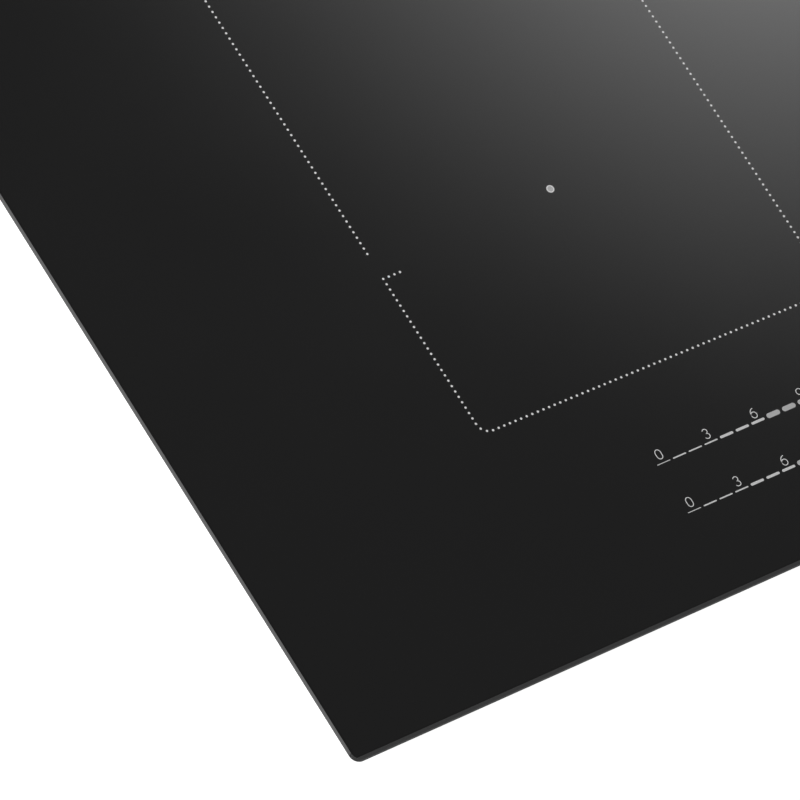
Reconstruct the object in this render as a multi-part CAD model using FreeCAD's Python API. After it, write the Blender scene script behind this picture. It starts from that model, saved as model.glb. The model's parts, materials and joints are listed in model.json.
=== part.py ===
import FreeCAD, Part
import math
import os

# Built-in electric induction cooktop, millimetres, +Z up, +X right, +Y to the rear of the worktop.
# The origin is the centre of the assembly's footprint, on the plane that the base pan's pads stand on.

# ---- driving dimensions ----
GLASS_W = 780.0
GLASS_D = 520.0
GLASS_T = 4.0
GLASS_CORNER_R = 4.5
GLASS_BEVEL = 1.25            # ground bevel round the underside
FACET_W = 1.5                 # polished facet along the front edge
FACET_DROP = 0.35
ZONE_MARGIN_X = 137.0         # from the glass's side edge to a cooking zone
ZONE_MARGIN_Y = 108.5         # from the glass's front edge to a cooking zone
ZONE_W = 190.0
COIL_AREA_D = 180.0           # two coil areas, one behind the other, make one zone

PAD_H = 2.0
PAD_R = 10.0
SHEET = 1.0                   # sheet thickness of pan, rails and trays
PAN_W = 528.0
PAN_D = 470.0
SEAL_T = 2.0
SEAL_W = 10.0
SEAL_INSET = 6.0
BOND_T = 1.0
WORKTOP_Z = 48.0              # plane of the worktop surface when built in
GLASS_Z = WORKTOP_Z + SEAL_T  # underside of the glass
RAIL_LEG_H = 11.0
RAIL_CORNER = 6.0             # the rails' legs stop short of the pan's rounded corners
RAIL_OUT_X = 276.0            # half width over the rails, inside a 560 mm cut-out
RAIL_OUT_Y = 242.0            # half depth over the rails, inside a 490 mm cut-out
SCREW_R = 1.5                 # all small screws are M3
SCREW_HOLE_R = 1.6
PAN_SCREW_Z = WORKTOP_Z - 6.0
PAN_SCREW_YS = (-205.0, 0.0, 205.0)
PAN_SCREW_XS = (-170.0, 60.0)
PAD_X, PAD_Y = 235.0, 205.0
RIB_YS = (-120.0, -40.0, 40.0)
RIB_REACH = 70.0
INTAKE_SLOTS = 9
INTAKE_SLOT_W = 4.4
EXHAUST_SLOTS = 11
FRONT_EXHAUST_PITCH = 16.0
FRONT_EXHAUST_W = 10.0
SIDE_EXHAUST_PITCH = 12.0
SIDE_EXHAUST_W = 8.0

COIL_R = 86.0
COIL_INNER_R = 24.0
TRAY_Z = 33.5
FERRITE_H = 5.0
FORMER_T = 2.0
WINDING_H = 4.5
INSULATION_T = 3.4
FERRITE_COUNT = 8
SENSOR_R = 6.0
SENSOR_HOLE_R = SENSOR_R + 3.0
FORMER_R = COIL_R + 3.0
FORMER_SCREW_ANGLES = (22.5, 157.5, 202.5, 337.5)
LEAD_R = 1.8
LEAD_HOLE_R = 2.5
LEAD_OFFSET = 6.0
TRAY_IN = 94.5                # from a coil's centre to the tray's inner side
TRAY_OUT = 92.0               # and to its other sides

BOARD_T = 1.6
BOARD_STANDOFF = 6.0
BOARD_INSET = 6.0
BOARD_X0, BOARD_X1 = 88.0, 246.0
BOARD_Y0, BOARD_Y1 = -148.0, 96.0
FILTER_X0, FILTER_X1 = -58.0, 58.0
FILTER_Y0, FILTER_Y1 = 60.0, 200.0
FIN_COUNT = 9
FIN_T = 1.2
SINK_T = 3.0
SINK_X0, SINK_X1 = 184.0, 230.0
SINK_Y0, SINK_Y1 = -60.0, 86.0

CONTROL_X = 222.0
CONTROL_Y0, CONTROL_Y1 = -229.0, -168.0
CARRIER_Z = 36.0
CARRIER_WALL = 2.0
CONTROL_Z = GLASS_Z - 6.0
GUIDE_YS = (-219.0, -194.0)   # under the two slider rows
GUIDE_X0, GUIDE_X1 = 101.0, 190.0
KEY_XS = (-75.0, -45.0, -15.0, 15.0, 45.0, 75.0)

FAN_SIZE = 80.0
FAN_H = 20.0
FAN_BORE_R = 37.0
FAN_BLADES = 7
FAN_Y = 150.0
FAN_HUB_R = 14.0
FAN_BEARING_H = 6.0
SHAFT_R = 1.5
RUNNING_GAP = 0.05            # radial clearance of shafts and pins in their bores

CLAMP_Y = 150.0
CLAMP_SCREW_X = 271.0
CLAMP_SCREW_R = 2.0
CLAMP_ARM_L = 34.0
CLAMP_ARM_W = 8.5
CLAMP_ARM_T = 2.5
CLAMP_ARM_Z = 28.0
CLAMP_Z0, CLAMP_Z1 = 8.0, 40.0    # the bracket's two ledges
CLAMP_SHEET = 1.2
CLAMP_BRACKET_HALF = 10.0

BOX_X0, BOX_X1 = 125.0, 220.0     # terminal box in the rear wall
BOX_Z0, BOX_Z1 = 6.0, 32.0
BOX_Y0 = 195.0
BOX_WALL = 1.5
FLANGE_T = 1.0
COVER_X0, COVER_X1 = 150.0, 222.0
COVER_T = 2.0
COVER_GAP = 0.3
TERMINALS = 6
HINGE_Z = 36.5
HINGE_R = 1.25
KNUCKLE_R = 2.8
GLAND_X, GLAND_Z = 136.0, 19.0
GLAND_BORE_R = 5.5
GLAND_R = 8.0

# ---- levels and places worked out from them ----
FLOOR_Z = PAD_H + SHEET
BOARD_Z = FLOOR_Z + BOARD_STANDOFF
BOARD_TOP = BOARD_Z + BOARD_T
BEARING_TOP = FLOOR_Z + FAN_BEARING_H
ROTOR_Z = BEARING_TOP + 0.8
ROTOR_TOP = FLOOR_Z + FAN_H - 3.0
FERRITE_Z = TRAY_Z + SHEET
FORMER_Z = FERRITE_Z + FERRITE_H
WINDING_Z = FORMER_Z + FORMER_T
INSULATION_Z = WINDING_Z + WINDING_H
WALL_X = PAN_W / 2
WALL_Y = PAN_D / 2
COVER_Y0 = WALL_Y + FLANGE_T + COVER_GAP
HINGE_Y = COVER_Y0 + COVER_T + 0.9
COIL_X = GLASS_W / 2 - ZONE_MARGIN_X - ZONE_W / 2
COIL_FRONT_Y = -GLASS_D / 2 + ZONE_MARGIN_Y + COIL_AREA_D / 2
COIL_REAR_Y = COIL_FRONT_Y + COIL_AREA_D
SIDES = {"left": -1, "right": 1}
COILS = {
    "front_left": (-COIL_X, COIL_FRONT_Y),
    "rear_left": (-COIL_X, COIL_REAR_Y),
    "front_right": (COIL_X, COIL_FRONT_Y),
    "rear_right": (COIL_X, COIL_REAR_Y),
}
CLAMPS = {
    "front_left": (-CLAMP_SCREW_X, -CLAMP_Y),
    "rear_left": (-CLAMP_SCREW_X, CLAMP_Y),
    "front_right": (CLAMP_SCREW_X, -CLAMP_Y),
    "rear_right": (CLAMP_SCREW_X, CLAMP_Y),
}

Z_AXIS = FreeCAD.Vector(0, 0, 1)
Y_AXIS = FreeCAD.Vector(0, 1, 0)
X_AXIS = FreeCAD.Vector(1, 0, 0)


# ---- shape helpers ----
def box(x0, x1, y0, y1, z0, z1):
    corner = FreeCAD.Vector(min(x0, x1), min(y0, y1), min(z0, z1))
    return Part.makeBox(abs(x1 - x0), abs(y1 - y0), abs(z1 - z0), corner)


def rod(radius, x, y, z0, z1):
    return Part.makeCylinder(radius, z1 - z0, FreeCAD.Vector(x, y, z0), Z_AXIS)


def rod_y(radius, x, z, y0, y1):
    return Part.makeCylinder(radius, y1 - y0, FreeCAD.Vector(x, y0, z), Y_AXIS)


def rod_x(radius, y, z, x0, x1):
    return Part.makeCylinder(radius, x1 - x0, FreeCAD.Vector(x0, y, z), X_AXIS)


def tube(outer, inner, x, y, z0, z1):
    return rod(outer, x, y, z0, z1).cut(rod(inner, x, y, z0, z1))


def fuse(shapes):
    first = shapes[0]
    if len(shapes) == 1:
        return first
    return first.multiFuse(shapes[1:]).removeSplitter()


def cut(shape, tools):
    return shape.cut(Part.makeCompound(tools)) if tools else shape


def turned(shape, degrees, x, y, axis=Z_AXIS, z=0.0):
    copy = shape.copy()
    copy.rotate(FreeCAD.Vector(x, y, z), axis, degrees)
    return copy


def rounded_slab(width, depth, radius, z0, z1):
    slab = box(-width / 2, width / 2, -depth / 2, depth / 2, z0, z1)
    upright = [e for e in slab.Edges if abs(e.Vertexes[0].Z - e.Vertexes[1].Z) > 0.5 * (z1 - z0)]
    return slab.makeFillet(radius, upright)


def slot_x(x0, x1, y, width, z0, z1):
    half = width / 2
    parts = [box(x0 + half, x1 - half, y - half, y + half, z0, z1)]
    parts += [rod(half, x, y, z0, z1) for x in (x0 + half, x1 - half)]
    return fuse(parts)


def save(node, shapes):
    solids = shapes if isinstance(shapes, list) else [shapes]
    shape = solids[0] if len(solids) == 1 else Part.makeCompound(solids)
    for solid in shape.Solids:
        if not solid.isValid():
            raise ValueError(node + " is not a valid solid")
    shape.exportStep("parts/" + node + ".step")
    print(node, len(shape.Solids), round(shape.Volume, 1))


# ---- glass, seal and the frame bonded to it ----
def glass_plate():
    plate = rounded_slab(GLASS_W, GLASS_D, GLASS_CORNER_R, GLASS_Z, GLASS_Z + GLASS_T)
    under = [e for e in plate.Edges if all(abs(v.Z - GLASS_Z) < 0.01 for v in e.Vertexes)]
    plate = plate.makeChamfer(GLASS_BEVEL, under)
    top = GLASS_Z + GLASS_T
    front = -GLASS_D / 2
    run = FACET_W + 1.0
    corners = [
        FreeCAD.Vector(-GLASS_W, front + FACET_W, top),
        FreeCAD.Vector(-GLASS_W, front + FACET_W - run, top + 1.0),
        FreeCAD.Vector(-GLASS_W, front + FACET_W - run, top - FACET_DROP * run / FACET_W),
    ]
    wedge = Part.Face(Part.makePolygon(corners + corners[:1])).extrude(FreeCAD.Vector(2 * GLASS_W, 0, 0))
    return plate.cut(wedge)


def frame_strips(out_x, in_x, out_y, in_y, z0, z1):
    """Four straight strips round a rectangle: left and right run full depth, front and rear sit between."""
    strips = []
    for side in (-1, 1):
        strips.append(box(side * in_x, side * out_x, -out_y, out_y, z0, z1))
        strips.append(box(-in_x, in_x, side * in_y, side * out_y, z0, z1))
    return strips


def worktop_seal():
    out_x = GLASS_W / 2 - SEAL_INSET
    out_y = GLASS_D / 2 - SEAL_INSET
    return frame_strips(out_x, out_x - SEAL_W, out_y, out_y - SEAL_W, WORKTOP_Z, GLASS_Z)


def pan_screw_places():
    """Points and outward directions of the screws that hold the pan to the rails."""
    places = []
    for side in (-1, 1):
        for y in PAN_SCREW_YS:
            places.append((side * WALL_X, y, side, 0))
        for x in PAN_SCREW_XS:
            places.append((x, side * WALL_Y, 0, side))
    return places


def along(place, radius, start, end):
    """A rod square to the pan wall at a screw place, from start to end outward of the wall's outer face."""
    x, y, dx, dy = place
    base = FreeCAD.Vector(x + dx * start, y + dy * start, PAN_SCREW_Z)
    return Part.makeCylinder(radius, end - start, base, FreeCAD.Vector(dx, dy, 0))


def glass_rails():
    leg_x = WALL_X - 2 * SHEET
    leg_y = WALL_Y - 2 * SHEET
    top = WORKTOP_Z + SHEET
    rails = []
    holes = [along(p, SCREW_HOLE_R, -4.0, 1.0) for p in pan_screw_places()]
    for side in (-1, 1):
        leg = box(side * leg_x, side * (leg_x + SHEET), -leg_y + RAIL_CORNER, leg_y - RAIL_CORNER,
                  WORKTOP_Z - RAIL_LEG_H, WORKTOP_Z)
        shelf = box(side * leg_x, side * RAIL_OUT_X, -RAIL_OUT_Y, RAIL_OUT_Y, WORKTOP_Z, top)
        rails.append(cut(fuse([leg, shelf]), holes))
        inner = leg_x - 0.5
        leg = box(-leg_x + RAIL_CORNER, leg_x - RAIL_CORNER, side * leg_y, side * (leg_y + SHEET),
                  WORKTOP_Z - RAIL_LEG_H, WORKTOP_Z)
        shelf = box(-inner, inner, side * leg_y, side * RAIL_OUT_Y, WORKTOP_Z, top)
        rails.append(cut(fuse([leg, shelf]), holes))
    return rails


def glass_bond():
    in_x = WALL_X - 2 * SHEET + 1.0
    in_y = WALL_Y - 2 * SHEET + 1.0
    z0 = WORKTOP_Z + SHEET
    strips = []
    for side in (-1, 1):
        strips.append(box(side * in_x, side * (RAIL_OUT_X - 1.0), -RAIL_OUT_Y + 1.0, RAIL_OUT_Y - 1.0,
                          z0, z0 + BOND_T))
        strips.append(box(-in_x + 2.0, in_x - 2.0, side * in_y, side * (RAIL_OUT_Y - 1.0), z0, z0 + BOND_T))
    return strips


# ---- base pan ----
def intake_slots(x):
    """Parallel slots in the pan floor that fill the fan's round duct."""
    reach = FAN_BORE_R - 2.0
    pitch = 2 * reach / INTAKE_SLOTS
    slots = []
    for i in range(INTAKE_SLOTS):
        y = -reach + pitch * (i + 0.5)
        half = math.sqrt(reach ** 2 - y ** 2)
        for side in (-1, 1):
            near = side * 2.0
            far = side * max(half, 8.0)
            slots.append(slot_x(x + min(near, far), x + max(near, far), FAN_Y + y, INTAKE_SLOT_W,
                                0.0, FLOOR_Z + 1.0))
    return slots


def base_pan():
    outer = rounded_slab(PAN_W, PAN_D, 6.0, PAD_H, WORKTOP_Z)
    inner = rounded_slab(PAN_W - 2 * SHEET, PAN_D - 2 * SHEET, 5.0, FLOOR_Z, WORKTOP_Z + 1.0)
    pan = outer.cut(inner)
    pads = [rod(PAD_R, sx * PAD_X, sy * PAD_Y, 0.0, PAD_H + 0.2) for sx in (-1, 1) for sy in (-1, 1)]
    ribs = [slot_x(-RIB_REACH, RIB_REACH, y, 12.0, 0.8, PAD_H + 0.2) for y in RIB_YS]
    pan = fuse([pan] + pads + ribs)
    tools = []
    for side in SIDES.values():
        tools += intake_slots(side * COIL_X)
        for i in range(EXHAUST_SLOTS):
            x = side * (70.0 + FRONT_EXHAUST_PITCH * i)
            half = FRONT_EXHAUST_W / 2
            tools.append(box(x - half, x + half, -WALL_Y - 1.0, -WALL_Y + SHEET + 0.5, 10.0, 24.0))
            y = -80.0 + SIDE_EXHAUST_PITCH * i
            half = SIDE_EXHAUST_W / 2
            tools.append(box(side * WALL_X - 2.0, side * WALL_X + 2.0, y - half, y + half, 12.0, 22.0))
    tools += [along(p, SCREW_HOLE_R, -4.0, 1.0) for p in pan_screw_places()]
    tools += standoff_holes()
    tools.append(box(BOX_X0, BOX_X1, WALL_Y - 3.0, WALL_Y + 1.0, BOX_Z0, BOX_Z1))
    return cut(pan, tools)


def pan_screws():
    screws = []
    for place in pan_screw_places():
        head = along(place, 3.4, 0.0, 2.0)
        shank = along(place, SCREW_R, -4.0, 0.0)
        screws.append(fuse([head, shank]))
    return screws


# ---- coils ----
def coil_tray(side):
    x_in = side * (COIL_X - TRAY_IN)
    x_out = side * (COIL_X + TRAY_OUT)
    y0 = COIL_FRONT_Y - TRAY_OUT
    y1 = COIL_REAR_Y + TRAY_OUT
    plate = box(x_in, x_out, y0, y1, TRAY_Z, TRAY_Z + SHEET)
    legs = [box(x_in, x_in + side * SHEET, y0, y1, FLOOR_Z, TRAY_Z),
            box(x_out, x_out - side * SHEET, y0, BOX_Y0 - 5.0, FLOOR_Z, TRAY_Z)]
    tools = []
    for y in (COIL_FRONT_Y, COIL_REAR_Y):
        x = side * COIL_X
        tools.append(rod(SENSOR_HOLE_R, x, y, TRAY_Z - 1.0, TRAY_Z + 2.0))
        tools += [rod(LEAD_HOLE_R, lx, ly, TRAY_Z - 1.0, TRAY_Z + 2.0) for lx, ly in lead_places(x, y)]
        tools += [rod(SCREW_HOLE_R, sx, sy, TRAY_Z - 1.0, TRAY_Z + 2.0) for sx, sy in former_screw_places(x, y)]
    return cut(fuse([plate] + legs), tools)


def lead_places(x, y):
    return [(x - LEAD_OFFSET, y - COIL_R + 3.0), (x + LEAD_OFFSET, y - COIL_R + 3.0)]


def former_screw_places(x, y):
    reach = COIL_R + 1.0
    angles = [math.radians(a) for a in FORMER_SCREW_ANGLES]
    return [(x + reach * math.cos(a), y + reach * math.sin(a)) for a in angles]


def coil_former(x, y):
    disc = rod(FORMER_R, x, y, FORMER_Z, WINDING_Z)
    hub = tube(COIL_INNER_R - 1.0, SENSOR_HOLE_R, x, y, WINDING_Z, INSULATION_Z)
    rim = tube(FORMER_R, COIL_R + 1.5, x, y, WINDING_Z, WINDING_Z + 2.0)
    feet = [rod(3.0, fx, fy, FERRITE_Z, FORMER_Z) for fx, fy in former_screw_places(x, y)]
    tools = [rod(SENSOR_HOLE_R, x, y, FORMER_Z - 1.0, INSULATION_Z + 1.0)]
    tools += [rod(LEAD_HOLE_R, lx, ly, FORMER_Z - 1.0, WINDING_Z + 1.0) for lx, ly in lead_places(x, y)]
    tools += [rod(SCREW_HOLE_R, fx, fy, FERRITE_Z - 1.0, FORMER_Z + 1.0)
              for fx, fy in former_screw_places(x, y)]
    return cut(fuse([disc, hub, rim] + feet), tools)


def ferrite_bars(x, y):
    bar = box(x + 28.0, x + 76.0, y - 6.0, y + 6.0, FERRITE_Z, FORMER_Z)
    return [turned(bar, 360.0 / FERRITE_COUNT * i + 22.5, x, y) for i in range(FERRITE_COUNT)]


def coil_winding(x, y):
    return tube(COIL_R, COIL_INNER_R, x, y, WINDING_Z, INSULATION_Z)


def insulation_disc(x, y):
    return tube(COIL_R, SENSOR_HOLE_R, x, y, INSULATION_Z, INSULATION_Z + INSULATION_T)


def temperature_sensor(x, y):
    head = rod(SENSOR_R, x, y, GLASS_Z - 4.0, GLASS_Z - 0.1)
    stem = rod(SENSOR_R - 2.5, x, y, TRAY_Z - 4.0, GLASS_Z - 4.0)
    collar = rod(SENSOR_R + 1.0, x, y, TRAY_Z - 6.0, TRAY_Z - 4.0)
    bridge = box(x - 16.0, x + 16.0, y - 4.0, y + 4.0, TRAY_Z - 7.0, TRAY_Z - 6.0)
    posts = [box(x + s * 16.0, x + s * 15.0, y - 4.0, y + 4.0, TRAY_Z - 7.0, TRAY_Z) for s in (-1, 1)]
    return fuse([head, stem, collar, bridge] + posts)


def sensor_spring(x, y):
    """Turns of the spring that holds a sensor up to the glass, as closed rings joined by a thin web."""
    turns = [Part.makeTorus(4.6, 0.45, FreeCAD.Vector(x, y, TRAY_Z - 3.0 + 2.0 * i)) for i in range(7)]
    web = box(x + 4.3, x + 4.9, y - 0.3, y + 0.3, TRAY_Z - 3.0, TRAY_Z + 9.0)
    return fuse(turns + [web])


def coil_leads():
    leads = []
    for x, y in COILS.values():
        leads += [rod(LEAD_R, lx, ly, BOARD_TOP, WINDING_Z) for lx, ly in lead_places(x, y)]
    return leads


def former_screws():
    screws = []
    for x, y in COILS.values():
        for sx, sy in former_screw_places(x, y):
            head = rod(3.0, sx, sy, TRAY_Z - 2.0, TRAY_Z)
            shank = rod(SCREW_R, sx, sy, TRAY_Z, FORMER_Z)
            screws.append(fuse([head, shank]))
    return screws


# ---- power electronics ----
def board_corners():
    """Fixing points of the two power boards and the filter board."""
    corners = []
    for side in SIDES.values():
        for x in (BOARD_X0 + BOARD_INSET, BOARD_X1 - BOARD_INSET):
            for y in (BOARD_Y0 + BOARD_INSET, BOARD_Y1 - BOARD_INSET):
                corners.append((side * x, y))
    for x in (FILTER_X0 + BOARD_INSET, FILTER_X1 - BOARD_INSET):
        for y in (FILTER_Y0 + BOARD_INSET, FILTER_Y1 - BOARD_INSET):
            corners.append((x, y))
    return corners


def standoff_holes():
    return [rod(SCREW_HOLE_R, x, y, 0.0, FLOOR_Z + 1.0) for x, y in board_corners()]


def board_standoffs():
    return [tube(3.5, SCREW_HOLE_R, x, y, FLOOR_Z, BOARD_Z) for x, y in board_corners()]


def board_screws():
    return [fuse([rod(2.8, x, y, BOARD_TOP, BOARD_TOP + 1.8), rod(SCREW_R, x, y, FLOOR_Z + 0.5, BOARD_TOP)])
            for x, y in board_corners()]


def drilled(board):
    return cut(board, [rod(SCREW_HOLE_R, x, y, BOARD_Z - 1.0, BOARD_TOP + 1.0) for x, y in board_corners()])


def power_board(side):
    return drilled(box(side * BOARD_X0, side * BOARD_X1, BOARD_Y0, BOARD_Y1, BOARD_Z, BOARD_TOP))


def heat_sink(side):
    base_z = BOARD_TOP + 3.0
    plate = box(side * SINK_X0, side * SINK_X1, SINK_Y0, SINK_Y1, base_z, base_z + SINK_T)
    feet = [box(side * x, side * (x + SINK_T), SINK_Y0, SINK_Y1, BOARD_TOP, base_z)
            for x in (SINK_X0, SINK_X1 - SINK_T)]
    step = (SINK_X1 - SINK_X0 - FIN_T) / (FIN_COUNT - 1)
    fins = [box(side * (SINK_X0 + step * i), side * (SINK_X0 + step * i + FIN_T), SINK_Y0, SINK_Y1,
                base_z + SINK_T, TRAY_Z - 2.5) for i in range(FIN_COUNT)]
    return fuse([plate] + feet + fins)


def power_transistors(side):
    return [box(side * 199.0, side * 215.0, y, y + 20.0, BOARD_TOP, BOARD_TOP + 3.0)
            for y in (-50.0, -12.0, 26.0, 60.0)]


def capacitors(side):
    blocks = [box(side * 102.0, side * 134.0, y, y + 16.0, BOARD_TOP, BOARD_TOP + 19.0)
              for y in (-110.0, -84.0, 30.0, 56.0)]
    cans = [rod(9.0, side * 146.0, y, BOARD_TOP, BOARD_TOP + 20.0) for y in (-100.0, -20.0)]
    return blocks + cans


def filter_board():
    return drilled(box(FILTER_X0, FILTER_X1, FILTER_Y0, FILTER_Y1, BOARD_Z, BOARD_TOP))


def filter_parts():
    chokes = [tube(17.0, 8.0, x, 150.0, BOARD_TOP, BOARD_TOP + 16.0) for x in (-26.0, 26.0)]
    blocks = [box(x - 8.0, x + 8.0, 80.0, 112.0, BOARD_TOP, BOARD_TOP + 22.0)
              for x in (-36.0, -12.0, 12.0, 36.0)]
    return chokes + blocks


# ---- touch controls ----
def control_carrier():
    shell = box(-CONTROL_X, CONTROL_X, CONTROL_Y0, CONTROL_Y1, CARRIER_Z, CONTROL_Z + BOARD_T)
    hollow = box(-CONTROL_X + CARRIER_WALL, CONTROL_X - CARRIER_WALL, CONTROL_Y0 + CARRIER_WALL,
                 CONTROL_Y1 - CARRIER_WALL, CARRIER_Z + CARRIER_WALL, CONTROL_Z + BOARD_T + 1.0)
    posts = [rod(4.0, sx * x, y, CARRIER_Z + 1.0, CONTROL_Z) for sx in (-1, 1) for x in (60.0, 200.0)
             for y in (CONTROL_Y0 + 8.0, CONTROL_Y1 - 8.0)]
    legs = [rod(5.0, sx * 205.0, y, FLOOR_Z, CARRIER_Z + 1.0) for sx in (-1, 1)
            for y in (CONTROL_Y0 + 12.0, CONTROL_Y1 - 12.0)]
    return fuse([shell.cut(hollow)] + posts + legs)


def control_board():
    return box(-CONTROL_X + 2.5, CONTROL_X - 2.5, CONTROL_Y0 + 2.5, CONTROL_Y1 - 2.5,
               CONTROL_Z, CONTROL_Z + BOARD_T)


def light_guides():
    z0 = CONTROL_Z + BOARD_T
    return [box(sx * GUIDE_X0, sx * GUIDE_X1, y - 3.5, y + 3.5, z0, GLASS_Z - 0.1)
            for sx in (-1, 1) for y in GUIDE_YS]


def touch_springs():
    z0 = CONTROL_Z + BOARD_T
    return [tube(4.0, 3.0, x, GUIDE_YS[0], z0, GLASS_Z - 0.1) for x in KEY_XS]


# ---- fans ----
def fan_housing(side):
    x = side * COIL_X
    half = FAN_SIZE / 2
    frame = box(x - half, x + half, FAN_Y - half, FAN_Y + half, FLOOR_Z, FLOOR_Z + FAN_H)
    frame = frame.cut(rod(FAN_BORE_R, x, FAN_Y, FLOOR_Z - 1.0, FLOOR_Z + FAN_H + 1.0))
    strut = box(x, x + FAN_BORE_R + 1.0, FAN_Y - 2.0, FAN_Y + 2.0, FLOOR_Z, FLOOR_Z + 3.0)
    struts = [turned(strut, angle, x, FAN_Y) for angle in (45.0, 135.0, 225.0, 315.0)]
    hub = rod(FAN_HUB_R, x, FAN_Y, FLOOR_Z, BEARING_TOP)
    bearing = rod(SHAFT_R + RUNNING_GAP, x, FAN_Y, FLOOR_Z + 1.0, BEARING_TOP + 1.0)
    return fuse([frame, hub] + struts).cut(bearing)


def fan_rotor(side):
    x = side * COIL_X
    hub = rod(FAN_HUB_R, x, FAN_Y, ROTOR_Z, ROTOR_TOP)
    shaft = rod(SHAFT_R, x, FAN_Y, FLOOR_Z + 1.5, ROTOR_Z + 1.0)
    mid_z = (ROTOR_Z + ROTOR_TOP) / 2
    blade = box(x + FAN_HUB_R - 2.0, x + FAN_BORE_R - 2.0, FAN_Y - 9.0, FAN_Y + 9.0, mid_z - 0.7, mid_z + 0.7)
    blade = turned(blade, 38.0, x, FAN_Y, X_AXIS, mid_z)
    blades = [turned(blade, 360.0 / FAN_BLADES * i, x, FAN_Y) for i in range(FAN_BLADES)]
    reach = rod(FAN_BORE_R - 2.0, x, FAN_Y, ROTOR_Z, ROTOR_TOP)
    return fuse([hub, shaft] + [b.common(reach) for b in blades])


# ---- mains connection ----
def terminal_box():
    body = box(BOX_X0, BOX_X1, BOX_Y0, WALL_Y + 0.5, BOX_Z0, BOX_Z1)
    flange = box(BOX_X0 - 5.0, BOX_X1 + 6.0, WALL_Y, WALL_Y + FLANGE_T, BOX_Z0 - 2.5, BOX_Z1 + 8.0)
    ears = [box(x, x + 3.0, WALL_Y, HINGE_Y + 2.4, HINGE_Z - 2.6, HINGE_Z + 2.6)
            for x in (COVER_X0 - 3.5, COVER_X1 + 0.5)]
    hollow = box(BOX_X0 + BOX_WALL, BOX_X1 - BOX_WALL, BOX_Y0 + BOX_WALL, WALL_Y - 1.0,
                 BOX_Z0 + BOX_WALL, BOX_Z1 - BOX_WALL)
    mouth = box(COVER_X0 + 3.0, BOX_X1 - 3.0, WALL_Y - 2.0, WALL_Y + 3.0, BOX_Z0 + 3.0, BOX_Z1 - 3.0)
    gland_hole = rod_y(GLAND_R, GLAND_X, GLAND_Z, WALL_Y - 3.0, WALL_Y + 3.0)
    pin_hole = rod_x(HINGE_R, HINGE_Y, HINGE_Z, COVER_X0 - 2.5, COVER_X1 + 2.5)
    return cut(fuse([body, flange] + ears), [hollow, mouth, gland_hole, pin_hole])


def terminal_block():
    x0, x1 = COVER_X0 + 4.0, BOX_X1 - 4.0
    y0 = BOX_Y0 + BOX_WALL
    z0 = BOX_Z0 + BOX_WALL
    block = box(x0, x1, y0, y0 + 20.0, z0, z0 + 14.0)
    pitch = (x1 - x0) / TERMINALS
    mouths = [box(x0 + pitch * i + 2.5, x0 + pitch * (i + 1) - 2.5, y0 + 10.0, y0 + 21.0, z0 + 2.0, z0 + 8.0)
              for i in range(TERMINALS)]
    screws = [rod(2.5, x0 + pitch * (i + 0.5), y0 + 13.0, z0 + 8.0, z0 + 15.0) for i in range(TERMINALS)]
    return cut(block, mouths + screws)


def terminal_screws():
    x0, x1 = COVER_X0 + 4.0, BOX_X1 - 4.0
    pitch = (x1 - x0) / TERMINALS
    z0 = BOX_Z0 + 9.5
    return [rod(2.3, x0 + pitch * (i + 0.5), BOX_Y0 + 14.5, z0, z0 + 5.5) for i in range(TERMINALS)]


def terminal_cover():
    plate = box(COVER_X0, COVER_X1, COVER_Y0, COVER_Y0 + COVER_T, BOX_Z0 - 1.5, HINGE_Z - 1.0)
    ribs = [box(COVER_X0 + 8.0 + 9.0 * i, COVER_X0 + 10.0 + 9.0 * i, COVER_Y0 + COVER_T,
                COVER_Y0 + COVER_T + 0.8, BOX_Z0 + 3.0, HINGE_Z - 6.0) for i in range(7)]
    knuckle = rod_x(KNUCKLE_R, HINGE_Y, HINGE_Z, COVER_X0, COVER_X1)
    bore = rod_x(HINGE_R + RUNNING_GAP, HINGE_Y, HINGE_Z, COVER_X0 - 1.0, COVER_X1 + 1.0)
    swing_room = box(COVER_X0 - 1.0, COVER_X1 + 1.0, WALL_Y, COVER_Y0, BOX_Z0, HINGE_Z + 4.0)
    return cut(fuse([plate, knuckle] + ribs), [bore, swing_room])


def hinge_pin():
    return rod_x(HINGE_R, HINGE_Y, HINGE_Z, COVER_X0 - 2.5, COVER_X1 + 2.5)


def cable_gland():
    body = rod_y(GLAND_R, GLAND_X, GLAND_Z, WALL_Y - 5.0, WALL_Y + FLANGE_T)
    nut = Part.Face(Part.makePolygon([
        FreeCAD.Vector(GLAND_X + 11.5 * math.cos(math.radians(60 * i)), WALL_Y + FLANGE_T,
                       GLAND_Z + 11.5 * math.sin(math.radians(60 * i))) for i in range(7)
    ])).extrude(FreeCAD.Vector(0, 5.0, 0))
    nose = rod_y(GLAND_R, GLAND_X, GLAND_Z, WALL_Y + FLANGE_T + 5.0, WALL_Y + FLANGE_T + 8.0)
    bore = rod_y(GLAND_BORE_R, GLAND_X, GLAND_Z, WALL_Y - 6.0, WALL_Y + FLANGE_T + 9.0)
    return fuse([body, nut, nose]).cut(bore)


# ---- worktop clamps ----
def clamp_brackets():
    brackets = []
    for x, y in CLAMPS.values():
        side = 1 if x > 0 else -1
        back = box(side * WALL_X, side * (WALL_X + CLAMP_SHEET), y - CLAMP_BRACKET_HALF, y + CLAMP_BRACKET_HALF,
                   CLAMP_Z0, CLAMP_Z1)
        ledges = [box(side * WALL_X, side * (CLAMP_SCREW_X + 5.0), y - CLAMP_BRACKET_HALF,
                      y + CLAMP_BRACKET_HALF, z, z + CLAMP_SHEET)
                  for z in (CLAMP_Z0, CLAMP_Z1 - CLAMP_SHEET)]
        brackets.append(fuse([back] + ledges).cut(rod(CLAMP_SCREW_R + 0.1, x, y, 0.0, WORKTOP_Z)))
    return brackets


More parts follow.
